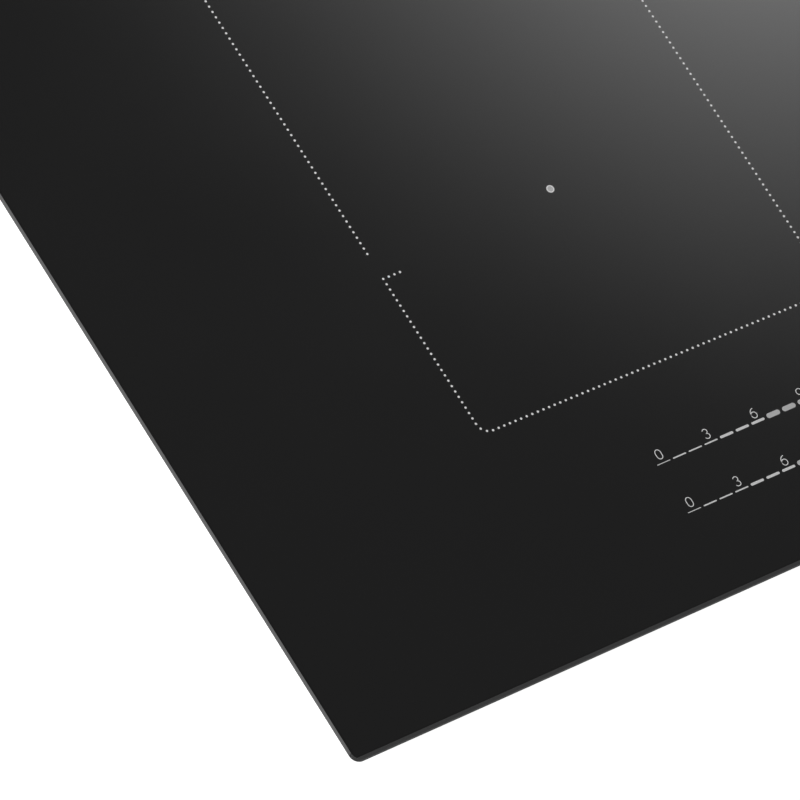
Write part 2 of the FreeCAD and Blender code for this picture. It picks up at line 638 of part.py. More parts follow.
def clamp_screws():
    screws = []
    for x, y in CLAMPS.values():
        head = rod(4.0, x, y, CLAMP_Z0 - 3.0, CLAMP_Z0)
        slot = box(x - 4.5, x + 4.5, y - 0.5, y + 0.5, CLAMP_Z0 - 4.0, CLAMP_Z0 - 2.0)
        shank = rod(CLAMP_SCREW_R, x, y, CLAMP_Z0, CLAMP_Z1 + 2.0)
        screws.append(fuse([head, shank]).cut(slot))
    return screws


def clamp_arm(x, y):
    """Flat arm, stowed towards the rear, that swings outward below the worktop."""
    half = CLAMP_ARM_W / 2
    eye = rod(half, x, y, CLAMP_ARM_Z, CLAMP_ARM_Z + CLAMP_ARM_T)
    blade = box(x - half, x + half, y, y + CLAMP_ARM_L, CLAMP_ARM_Z, CLAMP_ARM_Z + CLAMP_ARM_T)
    boss = rod(half - 0.5, x, y, CLAMP_ARM_Z - 4.0, CLAMP_ARM_Z)
    tip = box(x - half, x + half, y + CLAMP_ARM_L - 1.5, y + CLAMP_ARM_L, CLAMP_ARM_Z, CLAMP_ARM_Z + 6.0)
    bore = rod(CLAMP_SCREW_R + RUNNING_GAP, x, y, CLAMP_ARM_Z - 5.0, CLAMP_ARM_Z + CLAMP_ARM_T + 1.0)
    return fuse([eye, blade, boss, tip]).cut(bore)


def main():
    os.makedirs("parts", exist_ok=True)
    save("glass_plate", glass_plate())
    save("worktop_seal", worktop_seal())
    save("glass_bond", glass_bond())
    save("glass_rails", glass_rails())
    save("base_pan", base_pan())
    save("pan_screws", pan_screws())
    for name, (x, y) in COILS.items():
        save("coil_former_" + name, coil_former(x, y))
        save("coil_winding_" + name, coil_winding(x, y))
        save("insulation_disc_" + name, insulation_disc(x, y))
        save("temperature_sensor_" + name, temperature_sensor(x, y))
    save("ferrite_bars", [bar for x, y in COILS.values() for bar in ferrite_bars(x, y)])
    save("sensor_springs", [sensor_spring(x, y) for x, y in COILS.values()])
    save("coil_leads", coil_leads())
    save("former_screws", former_screws())
    for name, side in SIDES.items():
        save("coil_tray_" + name, coil_tray(side))
        save("power_board_" + name, power_board(side))
        save("heat_sink_" + name, heat_sink(side))
        save("fan_housing_" + name, fan_housing(side))
        save("fan_rotor_" + name, fan_rotor(side))
    save("power_transistors", [chip for side in SIDES.values() for chip in power_transistors(side)])
    save("capacitors", [can for side in SIDES.values() for can in capacitors(side)])
    save("filter_board", filter_board())
    save("filter_parts", filter_parts())
    save("board_standoffs", board_standoffs())
    save("board_screws", board_screws())
    save("control_carrier", control_carrier())
    save("control_board", control_board())
    save("light_guides", light_guides())
    save("touch_springs", touch_springs())
    save("terminal_box", terminal_box())
    save("terminal_block", terminal_block())
    save("terminal_screws", terminal_screws())
    save("terminal_cover", terminal_cover())
    save("hinge_pin", hinge_pin())
    save("cable_gland", cable_gland())
    save("clamp_brackets", clamp_brackets())
    save("clamp_screws", clamp_screws())
    for name, (x, y) in CLAMPS.items():
        save("clamp_arm_" + name, clamp_arm(x, y))


main()
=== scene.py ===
import bmesh
import bpy
import json
import math
from mathutils import Matrix, Vector


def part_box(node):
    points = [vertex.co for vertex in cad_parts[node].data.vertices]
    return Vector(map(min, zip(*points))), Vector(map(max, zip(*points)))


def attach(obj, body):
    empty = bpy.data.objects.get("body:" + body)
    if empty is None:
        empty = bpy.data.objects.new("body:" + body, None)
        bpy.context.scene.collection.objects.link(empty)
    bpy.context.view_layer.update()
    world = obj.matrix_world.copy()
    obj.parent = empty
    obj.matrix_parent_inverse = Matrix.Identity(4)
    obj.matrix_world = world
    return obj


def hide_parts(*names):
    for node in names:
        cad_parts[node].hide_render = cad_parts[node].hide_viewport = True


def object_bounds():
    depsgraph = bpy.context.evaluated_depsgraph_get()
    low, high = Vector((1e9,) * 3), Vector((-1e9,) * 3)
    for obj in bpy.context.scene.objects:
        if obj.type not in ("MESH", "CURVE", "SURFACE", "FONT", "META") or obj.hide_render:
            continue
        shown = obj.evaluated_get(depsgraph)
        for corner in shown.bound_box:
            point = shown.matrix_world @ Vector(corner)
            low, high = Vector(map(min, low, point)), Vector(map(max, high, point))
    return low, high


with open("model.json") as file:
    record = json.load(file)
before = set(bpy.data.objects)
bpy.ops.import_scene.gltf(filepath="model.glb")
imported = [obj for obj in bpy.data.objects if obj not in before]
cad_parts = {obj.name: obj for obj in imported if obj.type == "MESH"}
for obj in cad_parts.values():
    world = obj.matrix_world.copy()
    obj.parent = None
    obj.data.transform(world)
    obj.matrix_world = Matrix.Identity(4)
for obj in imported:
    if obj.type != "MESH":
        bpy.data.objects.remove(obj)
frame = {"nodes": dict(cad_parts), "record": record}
nodes = frame["nodes"]
CAD_BOX = [list(corner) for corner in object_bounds()]

MM = 0.001
ROOT = "hob"
GLASS_LOW, GLASS_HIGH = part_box("glass_plate")
GLASS_TOP = GLASS_HIGH.z

# ---- Cooking zones, given for the left one ----
ZONE_LEFT = GLASS_LOW.x + 137.0 * MM
ZONE_FRONT = GLASS_LOW.y + 108.6 * MM
ZONE_W = 190.0 * MM
COIL_AREA_D = 180.0 * MM
ZONE_D = 2 * COIL_AREA_D
SKEW = 0.012                  # the front and rear lines run slightly outward towards the middle of the hob
DOTS_ACROSS = 60              # steps between the dots of the front line, without its corners
PITCH_X = 2.985 * MM
PITCH_Y = 2.845 * MM
CORNER_R = 5.5 * MM
DOT_R = 0.55 * MM
STUB_UP = 81.2 * MM           # height of the side mark above the zone's front line
STUB_DOTS = 3
GAP = 13.1 * MM               # break in the outer line beyond the side mark
CENTRE_R = 1.9 * MM
CENTRE_SHIFT = 1.0 * MM       # of the centre marks, towards the middle of the hob
MARK_SHARE = 0.7              # radius of a centre mark's disc, as a share of the whole mark's
RING_SHARE = 0.84             # radius along the middle of its ring
RING_PEN = 0.28               # width of its ring

# ---- Sliders and touch symbols ----
SLIDER_X0 = -184.2 * MM       # centre of the first segment of the left sliders
SLIDER_STEP = 8.62 * MM
SLIDER_SEGMENTS = 10
SLIDER_ROWS = (-194.65 * MM, -219.45 * MM)
SEGMENT_L = 7.1 * MM
SEGMENT_WIDTHS = (0.34 * MM, 0.62 * MM, 1.2 * MM, 2.35 * MM)
SEGMENT_LIFTS = (-0.05 * MM, 0.0, 0.12 * MM, 0.38 * MM)
DIGIT_UP = 4.15 * MM          # digits' centres above their slider
DIGIT_SHIFT = 0.1 * MM        # and beside the middle of their segment
DIGIT_H = 4.9 * MM
DIGIT_W = 3.15 * MM
DIGIT_STROKE = 0.36 * MM
KEY_PEN = 0.45 * MM
CAP_STEPS = 5                 # steps round each end of a pen stroke
CAP_END = 0.05                # share of the stroke's width that is left at its very end
POWER_X = -72.0 * MM
PAUSE_X = -40.0 * MM
MINUS_X = -12.0 * MM
PLUS_X = 12.0 * MM
LOCK_X = 72.0 * MM
INK_LOW = GLASS_TOP - 0.02 * MM      # the print is sunk into the glass
INK_HIGH = GLASS_TOP + 0.03 * MM     # and stands proud of it

# ---- Glass edge ----
FACET_W = 1.5 * MM            # the front facet of the glass
# grey of the front-facing faces: partly the satin of the ground facet, partly painted light set to the
# brightness of the lit front band
SATIN_AND_PAINTED_LIGHT_GREY = (0.044, 0.0444, 0.045)
SATIN_ROUGH = 0.3             # added to the roughness on the satin faces
SATIN_FROM, SATIN_TO = -0.12, -0.2            # y of the surface's normal where the satin starts and is full
SIDE_PAINTED_REFLECTION_FROM, SIDE_PAINTED_REFLECTION_TO = 1.1 * MM, 0.9 * MM       # painted dark reflection: the black line inside the side edges
FRONT_PAINTED_REFLECTION_FROM, FRONT_PAINTED_REFLECTION_TO = 0.7 * MM, 0.5 * MM     # and behind the front facet

# ---- Coils, fans and screws ----
WIRE_PITCH = 3.45 * MM
WIRE_GAP = 0.35 * MM
COIL_INNER_R = 24.0 * MM
TURN_STEPS = 60
LITZ_POINTS = 10
LITZ_SQUARENESS = 0.6         # 1 is round, 0 is square
WINDING_PLAY = 0.1 * MM       # the litz stays this much below the winding's height
BLADE_COUNT = 7
BLADE_STATIONS = 7            # sections from the hub to the tip
BLADE_POINTS = 9              # points along each side of a section
BLADE_ROOT = 1.0 * MM         # reach of a blade into the hub
BLADE_SWEEP = 0.35            # radians that the tip is turned from the root
BLADE_SPAN = 0.78             # radians that the root takes up
BLADE_TAPER = 0.12            # and how much less the tip does
BLADE_DROP = 0.3              # share of its rise that a blade loses at the tip
BLADE_CAMBER = 0.12           # bow of a section, as a share of its rise
BLADE_EDGE = 0.15 * MM        # half thickness at the edges
BLADE_BODY = 0.65 * MM        # and what the middle adds
BLADE_PLAY = 0.4 * MM         # between the blades and the ends of the hub
HUB_R = 14.0 * MM
HUB_UP = 5.3 * MM             # the hub's underside above the lower end of the shaft
SHAFT_R = 1.5 * MM
SCREW_STEPS = 32
SCREW_SHANK_R = 1.45 * MM
SCREW_TIP = 0.5 * MM
SCREW_HEAD = ((1.0, 0.0), (1.0, 0.35), (0.93, 0.7), (0.78, 0.92), (0.62, 1.0))   # shares of radius and height

# ---- Studio ----
AMBIENT = 0.26                # the even light from all round
FLOOR_HALF = 60.0             # half the floor's side, in metres
FLOOR_GLOW = 0.9              # glow of the floor as the hob reflects it
PAINTED_SHADE_GLOW = 0.28              # and of the painted shadow, a grey patch of floor along and under the front edge
PAINTED_SHADE_FROM, PAINTED_SHADE_TO = 10 * MM, 24 * MM         # behind the front edge the painted shadow fades into the floor
# base colour of the painted shadow under the front edge
PAINTED_SHADE_GREY = (0.1, 0.1, 0.1)
FLOOR_WHITE = (0.8, 0.8, 0.8)
SOFTBOX_CENTRE = Vector((1.254, 0.776, GLASS_TOP + 1.6))
SOFTBOX_R = 0.632
SOFTBOX_STEPS = 64
SOFTBOX_PEAK = 8.3
SOFTBOX_FALL_OFF = 2.2
KEY_LIGHT_PLACE = Vector((-2.0, 0.6, 2.2))
KEY_LIGHT_SIZE = 1.6
KEY_LIGHT_POWER = 47.0
CAMERA_TARGET = Vector((-0.278384, -0.122983, GLASS_TOP))
CAMERA_DISTANCE = 3.7651
CAMERA_ANGLES = (-61.629, 54.91, 33.651)      # azimuth, elevation and roll
CAMERA_LENS = 402.35


# ---- Mesh helpers ----
def add_mesh(name, verts, faces, material, body=ROOT, smooth=False):
    """Makes a piece from closed solids, with its faces turned outward, and lets it ride on a body."""
    mesh = bpy.data.meshes.new(name)
    mesh.from_pydata([tuple(v) for v in verts], [], faces)
    solid = bmesh.new()
    solid.from_mesh(mesh)
    bmesh.ops.recalc_face_normals(solid, faces=solid.faces)
    solid.to_mesh(mesh)
    solid.free()
    if smooth:
        mesh.polygons.foreach_set("use_smooth", [True] * len(mesh.polygons))
    piece = bpy.data.objects.new(name, mesh)
    bpy.context.scene.collection.objects.link(piece)
    mesh.materials.append(material)
    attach(piece, body)
    return piece


class Shapes:
    """Collects closed solids as one list of vertices and faces."""

    def __init__(self):
        self.verts = []
        self.faces = []

    def add(self, verts, faces):
        start = len(self.verts)
        self.verts += verts
        self.faces += [tuple(start + i for i in f) for f in faces]

    def disc(self, x, y, radius, z0, z1, count):
        angles = [2 * math.pi * i / count for i in range(count)]
        ring = [(x + radius * math.cos(a), y + radius * math.sin(a)) for a in angles]
        verts = [(px, py, z0) for px, py in ring] + [(px, py, z1) for px, py in ring]
        faces = [tuple(reversed(range(count))), tuple(range(count, 2 * count))]
        faces += [(i, (i + 1) % count, count + (i + 1) % count, count + i) for i in range(count)]
        self.add(verts, faces)

    def strip(self, stations, z0, z1, closed=False):
        """A flat ribbon through stations of (left point, right point)."""
        count = len(stations)
        verts = []
        for left, right in stations:
            verts += [(*left, z0), (*right, z0), (*right, z1), (*left, z1)]
        faces = []
        for i in range(count if closed else count - 1):
            a, b = 4 * i, 4 * ((i + 1) % count)
            faces += [(a + k, b + k, b + (k + 1) % 4, a + (k + 1) % 4) for k in range(4)]
        if not closed:
            last = 4 * (count - 1)
            faces += [(0, 1, 2, 3), (last + 3, last + 2, last + 1, last)]
        self.add(verts, faces)

    def line(self, points, width, z0, z1, closed=False):
        """A pen stroke of even width with round ends."""
        pts = [Vector(p) for p in points]
        half = width / 2
        stations = []
        count = len(pts)
        for i, p in enumerate(pts):
            before = pts[i - 1] if i or closed else p
            after = pts[(i + 1) % count] if i + 1 < count or closed else p
            along = (after - before).normalized()
            across = Vector((-along.y, along.x))
            stations.append((p, along, across, half))
        if not closed:
            head, tail = stations[0], stations[-1]
            for a in [math.radians(90.0 * k / CAP_STEPS) for k in range(1, CAP_STEPS + 1)]:
                size = max(half * math.cos(a), half * CAP_END)
                stations.insert(0, (head[0] - head[1] * half * math.sin(a), head[1], head[2], size))
                stations.append((tail[0] + tail[1] * half * math.sin(a), tail[1], tail[2], size))
        self.strip([(tuple(p + n * w), tuple(p - n * w)) for p, _, n, w in stations], z0, z1, closed)

    def loft(self, rings):
        """Closed rings of equal point counts joined in order, with both ends capped."""
        count = len(rings[0])
        verts = [tuple(p) for ring in rings for p in ring]
        faces = []
        for k in range(len(rings) - 1):
            a, b = k * count, (k + 1) * count
            faces += [(a + i, a + (i + 1) % count, b + (i + 1) % count, b + i) for i in range(count)]
        faces.append(tuple(reversed(range(count))))
        faces.append(tuple(range((len(rings) - 1) * count, len(rings) * count)))
        self.add(verts, faces)


def arc(cx, cy, rx, ry, start, end, count):
    """Points along an elliptic arc between two angles in degrees."""
    angles = [math.radians(start + (end - start) * i / count) for i in range(count + 1)]
    return [(cx + rx * math.cos(a), cy + ry * math.sin(a)) for a in angles]


# ---- Materials ----
MIX_FACTOR, MIX_A, MIX_B, MIX_RESULT = 0, 6, 7, 2    # the colour sockets of a Mix node


class Finish:
    """A principled material with procedural colour, roughness and bump, in the part's own coordinates."""

    def __init__(self, name, colour, roughness, metallic=0.0):
        self.material = bpy.data.materials.new(name)
        self.material.use_nodes = True
        self.tree = self.material.node_tree
        self.shader = self.tree.nodes["Principled BSDF"]
        self.place = self.tree.nodes.new("ShaderNodeTexCoord").outputs["Object"]
        self.shader.inputs["Base Color"].default_value = (*colour, 1.0)
        self.shader.inputs["Roughness"].default_value = roughness
        self.shader.inputs["Metallic"].default_value = metallic
        self.colour = colour
        self.height = None

    def node(self, kind, **values):
        """A new node with some of its settings or inputs given by name."""
        made = self.tree.nodes.new(kind)
        for key, value in values.items():
            if hasattr(made, key):
                setattr(made, key, value)
            else:
                made.inputs[key].default_value = value
        return made

    def link(self, source, target):
        self.tree.links.new(source, target)

    def stretched(self, scale):
        mapping = self.node("ShaderNodeMapping")
        mapping.inputs["Scale"].default_value = scale
        self.link(self.place, mapping.inputs["Vector"])
        return mapping.outputs["Vector"]

    def noise(self, scale, detail, stretch=None):
        tex = self.node("ShaderNodeTexNoise", Scale=scale, Detail=detail)
        self.link(self.stretched(stretch) if stretch else self.place, tex.inputs["Vector"])
        return tex.outputs["Fac"]

    def cells(self, scale, output):
        tex = self.node("ShaderNodeTexVoronoi", Scale=scale)
        self.link(self.place, tex.inputs["Vector"])
        return tex.outputs[output]

    def spread(self, factor, low, high, from_low=0.3, from_high=0.7):
        """Maps a factor's range onto another one, clamped."""
        ramp = self.node("ShaderNodeMapRange")
        ramp.inputs["From Min"].default_value = from_low
        ramp.inputs["From Max"].default_value = from_high
        ramp.inputs["To Min"].default_value = low
        ramp.inputs["To Max"].default_value = high
        self.link(factor, ramp.inputs["Value"])
        return ramp.outputs["Result"]

    def mixed(self, factor, first, second):
        """A colour between two others, each a triple or an output, by a factor."""
        mix = self.node("ShaderNodeMix", data_type="RGBA")
        self.link(factor, mix.inputs[MIX_FACTOR])
        for value, socket in ((first, MIX_A), (second, MIX_B)):
            if isinstance(value, tuple):
                mix.inputs[socket].default_value = (*value, 1.0)
            else:
                self.link(value, mix.inputs[socket])
        return mix.outputs[MIX_RESULT]

    def tint(self, factor, other, from_low=0.3, from_high=0.7):
        """Shades the colour towards another one by a factor."""
        colour = self.mixed(self.spread(factor, 0.0, 1.0, from_low, from_high), self.colour, other)
        self.link(colour, self.shader.inputs["Base Color"])

    def rough(self, factor, low, high, from_low=0.3, from_high=0.7):
        self.link(self.spread(factor, low, high, from_low, from_high), self.shader.inputs["Roughness"])

    def bump(self, factor, distance, strength=1.0):
        made = self.node("ShaderNodeBump", Strength=strength, Distance=distance)
        self.link(factor, made.inputs["Height"])
        if self.height:
            self.link(self.height, made.inputs["Normal"])
        self.height = made.outputs["Normal"]
        self.link(self.height, self.shader.inputs["Normal"])


def shade(colour, factor):
    """A colour made lighter or darker."""
    return tuple(min(1.0, c * factor) for c in colour)


def glass_finish():
    """Black glass-ceramic: polished faces, a satin front facet whose grey is partly painted light, and a
    painted dark reflection, a black line just inside the top edge.
    """
    f = Finish("black_glass", (0.0026, 0.0026, 0.0027), 0.09)
    coords = f.node("ShaderNodeTexCoord")
    normal = f.node("ShaderNodeSeparateXYZ")
    f.link(coords.outputs["Normal"], normal.inputs[0])
    place = f.node("ShaderNodeSeparateXYZ")
    f.link(f.place, place.inputs[0])
    facing_front = f.spread(normal.outputs["Y"], 1.0, 0.0, SATIN_TO, SATIN_FROM)
    smear = f.noise(7.0, 5.0)
    black = f.mixed(smear, (0.0023, 0.0023, 0.0024), (0.0030, 0.0030, 0.0031))
    # Painted reflection: a black line just inside the side edges and behind the front facet stands in for the
    # dark that the rounded edge reflects.
    from_middle = f.node("ShaderNodeMath", operation="ABSOLUTE")
    f.link(place.outputs["X"], from_middle.inputs[0])
    side = GLASS_HIGH.x
    painted_reflection_x = f.spread(from_middle.outputs[0], 0.0, 1.0, side - SIDE_PAINTED_REFLECTION_FROM, side - SIDE_PAINTED_REFLECTION_TO)
    facet_end = GLASS_LOW.y + FACET_W
    painted_reflection_y = f.spread(place.outputs["Y"], 1.0, 0.0, facet_end + FRONT_PAINTED_REFLECTION_TO, facet_end + FRONT_PAINTED_REFLECTION_FROM)
    rim = f.node("ShaderNodeMath", operation="MAXIMUM")
    f.link(painted_reflection_x, rim.inputs[0])
    f.link(painted_reflection_y, rim.inputs[1])
    # Mixes in the painted dark reflection along the edges.
    with_painted_reflection = f.mixed(rim.outputs[0], black, (0.0, 0.0, 0.0))
    # Partly painted light: the front-facing faces get a grey that is partly the satin of the ground facet and
    # partly the brightness the lit front band shows; the side faces keep the polished black.
    satin = f.mixed(facing_front, with_painted_reflection, SATIN_AND_PAINTED_LIGHT_GREY)
    f.link(satin, f.shader.inputs["Base Color"])
    edge_rough = f.node("ShaderNodeMath", operation="MULTIPLY_ADD")
    edge_rough.inputs[1].default_value = SATIN_ROUGH
    f.link(facing_front, edge_rough.inputs[0])
    f.link(f.spread(smear, 0.085, 0.115), edge_rough.inputs[2])
    f.link(edge_rough.outputs[0], f.shader.inputs["Roughness"])
    return f.material


def print_finish(name, colour):
    """Ceramic frit: slightly rough, with a fine grain."""
    f = Finish(name, colour, 0.55)
    grain = f.noise(6000.0, 2.0)
    f.tint(grain, shade(colour, 0.9))
    f.rough(grain, 0.5, 0.62)
    return f.material


def spangle_finish(name, colour, scale):
    """Hot-dip galvanised sheet with fine spangle."""
    f = Finish(name, colour, 0.38, 1.0)
    value = f.node("ShaderNodeSeparateColor")
    f.link(f.cells(scale, "Color"), value.inputs[0])
    f.tint(value.outputs[0], shade(colour, 0.84), 0.0, 1.0)
    f.rough(value.outputs[1], 0.3, 0.46, 0.0, 1.0)
    f.bump(f.noise(900.0, 3.0), 0.00003, 0.5)
    return f.material


def metal_finish(name, colour, roughness, grain=(1.0, 1.0, 1.0), scale=500.0):
    """Bare metal with a fine grain, or with brushing where the grain is stretched."""
    f = Finish(name, colour, roughness, 1.0)
    streak = f.noise(scale, 3.0, grain)
    f.tint(streak, shade(colour, 0.88))
    f.rough(streak, roughness * 0.85, roughness * 1.2)
    f.bump(streak, 0.00002, 0.4)
    return f.material


def plastic_finish(name, colour, roughness=0.5, grain=1400.0):
    """Moulded plastic with a fine spark-eroded grain."""
    f = Finish(name, colour, roughness)
    skin = f.noise(grain, 2.0)
    f.tint(f.noise(40.0, 3.0), shade(colour, 1.25))
    f.rough(skin, roughness * 0.9, roughness * 1.15)
    f.bump(skin, 0.00004, 0.6)
    return f.material


def foam_finish(name, colour):
    """Open-celled foam tape."""
    f = Finish(name, colour, 0.95)
    distance = f.cells(1500.0, "Distance")
    f.tint(distance, shade(colour, 0.45), 0.0, 0.6)
    f.bump(distance, 0.0003, 0.8)
    return f.material


def board_finish(name, colour):
    """Circuit board: solder mask over tracks."""
    f = Finish(name, colour, 0.35)
    brick = f.node("ShaderNodeTexBrick", Scale=60.0)
    brick.inputs["Mortar Size"].default_value = 0.012
    brick.inputs["Color1"].default_value = (*colour, 1.0)
    brick.inputs["Color2"].default_value = (*shade(colour, 0.85), 1.0)
    brick.inputs["Mortar"].default_value = (*shade(colour, 1.7), 1.0)
    f.link(f.place, brick.inputs["Vector"])
    f.link(brick.outputs["Color"], f.shader.inputs["Base Color"])
    f.bump(brick.outputs["Fac"], 0.00004, 0.5)
    return f.material


def litz_finish(name, colour):
    """Varnished stranded copper: fine helical strands."""
    f = Finish(name, colour, 0.3, 1.0)
    wave = f.node("ShaderNodeTexWave", Scale=380.0, Distortion=1.5)
    f.link(f.place, wave.inputs["Vector"])
    f.tint(wave.outputs["Fac"], shade(colour, 0.5), 0.0, 1.0)
    f.bump(wave.outputs["Fac"], 0.0001, 0.8)
    return f.material


def ceramic_finish(name, colour, roughness=0.7):
    """Pressed and fired ceramic with a coarse grain."""
    f = Finish(name, colour, roughness)
    grain = f.noise(900.0, 5.0)
    f.tint(grain, shade(colour, 0.75))
    f.bump(grain, 0.00008, 0.6)
    return f.material


def felt_finish(name, colour):
    """Ceramic fibre felt."""
    f = Finish(name, colour, 0.95)
    fibre = f.noise(1800.0, 6.0, (1.0, 3.0, 1.0))
    f.tint(fibre, shade(colour, 0.7))
    f.bump(fibre, 0.0003, 0.8)
    f.shader.inputs["Sheen Weight"].default_value = 0.3
    return f.material


FINISHES = {
    "black_glass": glass_finish(),
    "seal_foam": foam_finish("seal_foam", (0.03, 0.03, 0.03)),
    "silicone": plastic_finish("silicone", (0.05, 0.05, 0.052), 0.6, 400.0),
    "galvanised_steel": spangle_finish("galvanised_steel", (0.50, 0.52, 0.54), 210.0),
    "zinc_screw": metal_finish("zinc_screw", (0.66, 0.66, 0.63), 0.28),
    "coil_former_plastic": plastic_finish("coil_former_plastic", (0.06, 0.06, 0.06)),
    "copper_litz": litz_finish("copper_litz", (0.72, 0.33, 0.17)),
    "insulation_felt": felt_finish("insulation_felt", (0.76, 0.74, 0.68)),
    "sensor_ceramic": ceramic_finish("sensor_ceramic", (0.82, 0.80, 0.76)),
    "ferrite": ceramic_finish("ferrite", (0.06, 0.06, 0.065), 0.5),
    "spring_steel": metal_finish("spring_steel", (0.62, 0.62, 0.61), 0.25),
    "lead_insulation": plastic_finish("lead_insulation", (0.45, 0.04, 0.03), 0.45),
    "aluminium_sheet": metal_finish("aluminium_sheet", (0.80, 0.81, 0.82), 0.4, (1.0, 30.0, 1.0), 60.0),
    "aluminium_fins": metal_finish("aluminium_fins", (0.76, 0.77, 0.78), 0.35, (1.0, 0.05, 1.0), 400.0),
    "circuit_board": board_finish("circuit_board", (0.02, 0.11, 0.05)),
    "fan_plastic": plastic_finish("fan_plastic", (0.022, 0.022, 0.023), 0.42),
    "component_black": plastic_finish("component_black", (0.02, 0.02, 0.02), 0.5),
    "component_grey": plastic_finish("component_grey", (0.35, 0.35, 0.34), 0.4),
    "spacer_plastic": plastic_finish("spacer_plastic", (0.78, 0.78, 0.72), 0.5),
    "carrier_plastic": plastic_finish("carrier_plastic", (0.55, 0.55, 0.53), 0.5),
    "terminal_plastic": plastic_finish("terminal_plastic", (0.045, 0.045, 0.048), 0.48),
    "terminal_block_plastic": plastic_finish("terminal_block_plastic", (0.72, 0.69, 0.60), 0.5),
    "terminal_brass": metal_finish("terminal_brass", (0.78, 0.60, 0.28), 0.3),
    "hinge_steel": metal_finish("hinge_steel", (0.64, 0.64, 0.64), 0.25, (0.1, 1.0, 1.0)),
    "gland_plastic": plastic_finish("gland_plastic", (0.20, 0.20, 0.21), 0.45),
    "clamp_steel": metal_finish("clamp_steel", (0.62, 0.63, 0.61), 0.34),
}
SLOT_OF = {s["node"]: s["material_slot"] for s in frame["record"]["subparts"]}


def dress_cad_nodes():
    """Gives every CAD node the finish of its slot."""
    for name, node in nodes.items():
        node.data.materials.clear()
        node.data.materials.append(FINISHES[SLOT_OF[name]])
        for polygon in node.data.polygons:
            polygon.material_index = 0


dress_cad_nodes()


# ---- Printed marks on the glass ----
INK_WHITE = print_finish("ink_white", (0.86, 0.86, 0.86))
INK_PALE = print_finish("ink_pale", (0.74, 0.74, 0.74))
INK_GREY = print_finish("ink_grey", (0.54, 0.54, 0.54))


def evenly(start, end, step):
    """Points from start to end, both included, spaced as near to step as an even division allows."""
    run = Vector(end) - Vector(start)
    count = max(1, round(run.length / step))
    return [tuple(Vector(start) + run * (i / count)) for i in range(count + 1)]


def zone_dots():
    """Dot centres of the left zone: a rounded outline whose outer line is broken beyond two side marks."""
    left, right = ZONE_LEFT, ZONE_LEFT + ZONE_W
    r = CORNER_R
    dots = []
    for line, inward in ((ZONE_FRONT, 1), (ZONE_FRONT + ZONE_D, -1)):
        near = (left + r, line - inward * SKEW * r)
        far = (right - r, line - inward * SKEW * (ZONE_W - r))
        dots += evenly(near, far, (ZONE_W - 2 * r) / DOTS_ACROSS)
        stub = line + inward * STUB_UP
        dots += evenly((left, line + inward * r), (left, stub), PITCH_Y)
        dots += [(left + PITCH_X * i, stub) for i in range(1, STUB_DOTS + 1)]
        for x, y, outward in ((near[0], near[1], -1), (far[0], far[1], 1)):
            for angle in (math.radians(30), math.radians(60)):
                dots.append((x + outward * r * math.sin(angle), y + inward * r * (1 - math.cos(angle))))
    reach = STUB_UP + GAP
    dots += evenly((left, ZONE_FRONT + reach), (left, ZONE_FRONT + ZONE_D - reach), PITCH_Y)
    lean = SKEW * ZONE_W
    dots += evenly((right, ZONE_FRONT - lean + r), (right, ZONE_FRONT + ZONE_D + lean - r), PITCH_Y)
    return dots


def build_zone(name, mirror):
    """The dots, centre marks and rings of one zone; mirror is 1 on the left and -1 on the right."""
    dots = Shapes()
    for x, y in zone_dots():
        dots.disc(mirror * x, y, DOT_R, INK_LOW, INK_HIGH, 14)
    add_mesh("zone_dots_" + name, dots.verts, dots.faces, INK_WHITE)
    marks = Shapes()
    rings = Shapes()
    x = mirror * (ZONE_LEFT + ZONE_W / 2 + CENTRE_SHIFT)
    for y in (ZONE_FRONT + COIL_AREA_D / 2, ZONE_FRONT + COIL_AREA_D * 1.5):
        marks.disc(x, y, CENTRE_R * MARK_SHARE, INK_LOW, INK_HIGH, 32)
        path = arc(x, y, CENTRE_R * RING_SHARE, CENTRE_R * RING_SHARE, 0, 350, 35)
        rings.line(path, CENTRE_R * RING_PEN, INK_LOW, INK_HIGH, closed=True)
    add_mesh("centre_marks_" + name, marks.verts, marks.faces, INK_GREY)
    add_mesh("centre_rings_" + name, rings.verts, rings.faces, INK_WHITE)


def segment_kind(index):
    """Which width a slider's segment has: the first is the finest, and each three after it are wider."""
    return 0 if index == 0 else 1 + (index - 1) // 3


def digit_strokes(digit):
    """Pen paths of a digit inside a box from (-0.5, -0.5) to (0.5, 0.5)."""
    if digit == 0:
        return [(arc(0, 0.13, 0.5, 0.37, 0, 180, 12) + arc(0, -0.13, 0.5, 0.37, 180, 360, 12)[:-1], True)]
    if digit == 3:
        upper = arc(-0.02, 0.26, 0.42, 0.24, 150, -90, 16)
        lower = arc(-0.02, -0.24, 0.48, 0.26, 90, -150, 16)
        return [(upper + lower[1:], False)]
    bowl = arc(0, -0.18, 0.5, 0.32, 0, 345, 23)
    stem = [(-0.5, -0.15), (-0.43, 0.12), (-0.25, 0.33), (0.02, 0.46), (0.3, 0.5)]
    if digit == 6:
        return [(bowl, True), (stem, False)]
    return [([(-x, -y) for x, y in path], closed) for path, closed in ((bowl, True), (stem, False))]


